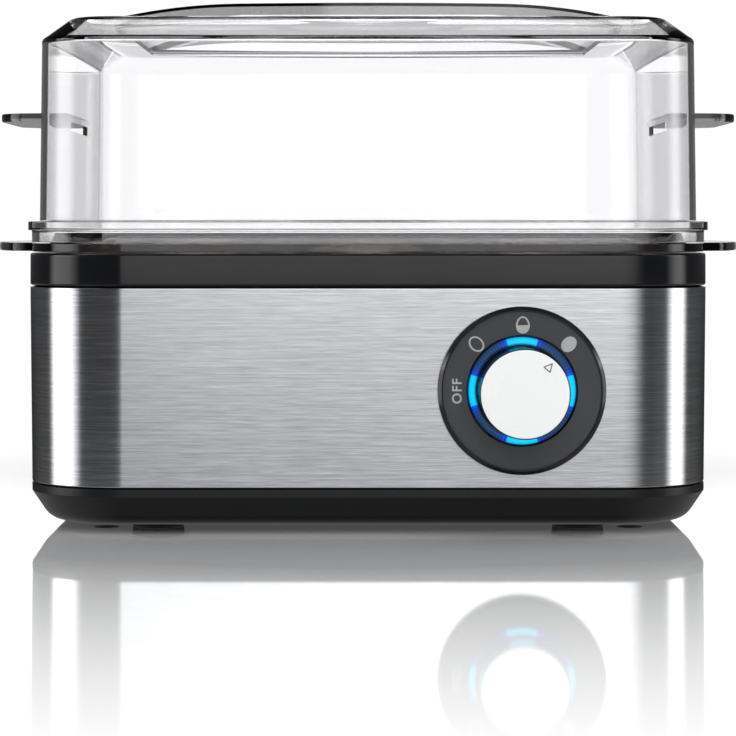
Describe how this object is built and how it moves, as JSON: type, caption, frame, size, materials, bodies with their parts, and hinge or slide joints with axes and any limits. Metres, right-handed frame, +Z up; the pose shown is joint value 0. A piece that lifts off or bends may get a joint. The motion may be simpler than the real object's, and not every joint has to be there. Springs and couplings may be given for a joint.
{
  "type": "egg boiler",
  "caption": "Countertop egg boiler: rounded-square steel-sleeved housing with a lit dial, lift-off seat tray and a clear smoked lid with side wings.",
  "frame": {"origin": "on the surface under the feet, below the middle of the whole boiler with its knob and cord bushing", "axes": "+Z up, the dial's side faces -Y, +X to the right seen from the front"},
  "size_m": [0.197, 0.1888, 0.1288],
  "materials": {
    "smoked_plastic": "clear, smoke-tinted, polished",
    "black_gloss": "moulded gloss",
    "black_satin": "moulded satin",
    "dial_grey": "fine matt",
    "brushed_steel": "brushed crosswise",
    "plated_steel": "zinc plated",
    "cast_aluminium": "cast, non-stick coated",
    "bright_aluminium": "satin, near white",
    "bright_chrome": "plated, mirror bright",
    "foot_rubber": "matt",
    "silicone": "matt",
    "light_guide": "translucent, lit blue",
    "circuit_board": "solder resist",
    "component_plastic": "moulded",
    "wire_jacket": "soft plastic"
  },
  "bodies": {
    "housing": {"collar": "black_gloss", "steel_sleeve": "brushed_steel", "base_pan": "black_satin", "foot_front_left": "foot_rubber", "foot_front_right": "foot_rubber", "foot_rear_left": "foot_rubber", "foot_rear_right": "foot_rubber", "base_screw_front_left": "plated_steel", "base_screw_front_right": "plated_steel", "base_screw_rear_left": "plated_steel", "base_screw_rear_right": "plated_steel", "water_dish": "cast_aluminium", "dish_seal": "silicone", "heat_shield": "plated_steel", "shield_screw_1": "plated_steel", "shield_screw_2": "plated_steel", "shield_screw_3": "plated_steel", "heating_element": "plated_steel", "thermostat": "component_plastic", "thermostat_clip": "plated_steel", "thermal_fuse": "component_plastic", "fuse_clip": "plated_steel", "dial_bezel": "dial_grey", "dial_retainer": "black_satin", "light_guide": "light_guide", "rotary_switch": "black_satin", "switch_nut": "plated_steel", "control_board": "circuit_board", "led_right": "component_plastic", "led_top": "component_plastic", "led_left": "component_plastic", "led_bottom": "component_plastic", "buzzer": "black_satin", "relay": "component_plastic", "terminal_block": "component_plastic", "cord_gland": "foot_rubber", "wire_block_fuse": "wire_jacket", "wire_fuse_thermostat": "wire_jacket", "wire_thermostat_element": "wire_jacket", "wire_element_block": "wire_jacket", "wire_block_board": "wire_jacket"},
    "tray": {"egg_tray": "smoked_plastic"},
    "cover": {"lid": "smoked_plastic"},
    "knob": {"knob_body": "bright_chrome", "knob_cap": "bright_aluminium", "knob_shaft": "plated_steel"}
  },
  "joints": [
    {"name": "tray_lift", "type": "slide", "parent": "housing", "child": "tray", "axis": [0, 0, 1], "range_m": [0, 0.08]},
    {"name": "lid_lift", "type": "slide", "parent": "tray", "child": "cover", "axis": [0, 0, 1], "range_m": [0, 0.1]},
    {"name": "knob_turn", "type": "hinge", "parent": "housing", "child": "knob", "pos_m": [0.0369, -0.07795, 0.0348], "axis": [0, -1, 0], "range_deg": [-3, 132]}
  ]
}
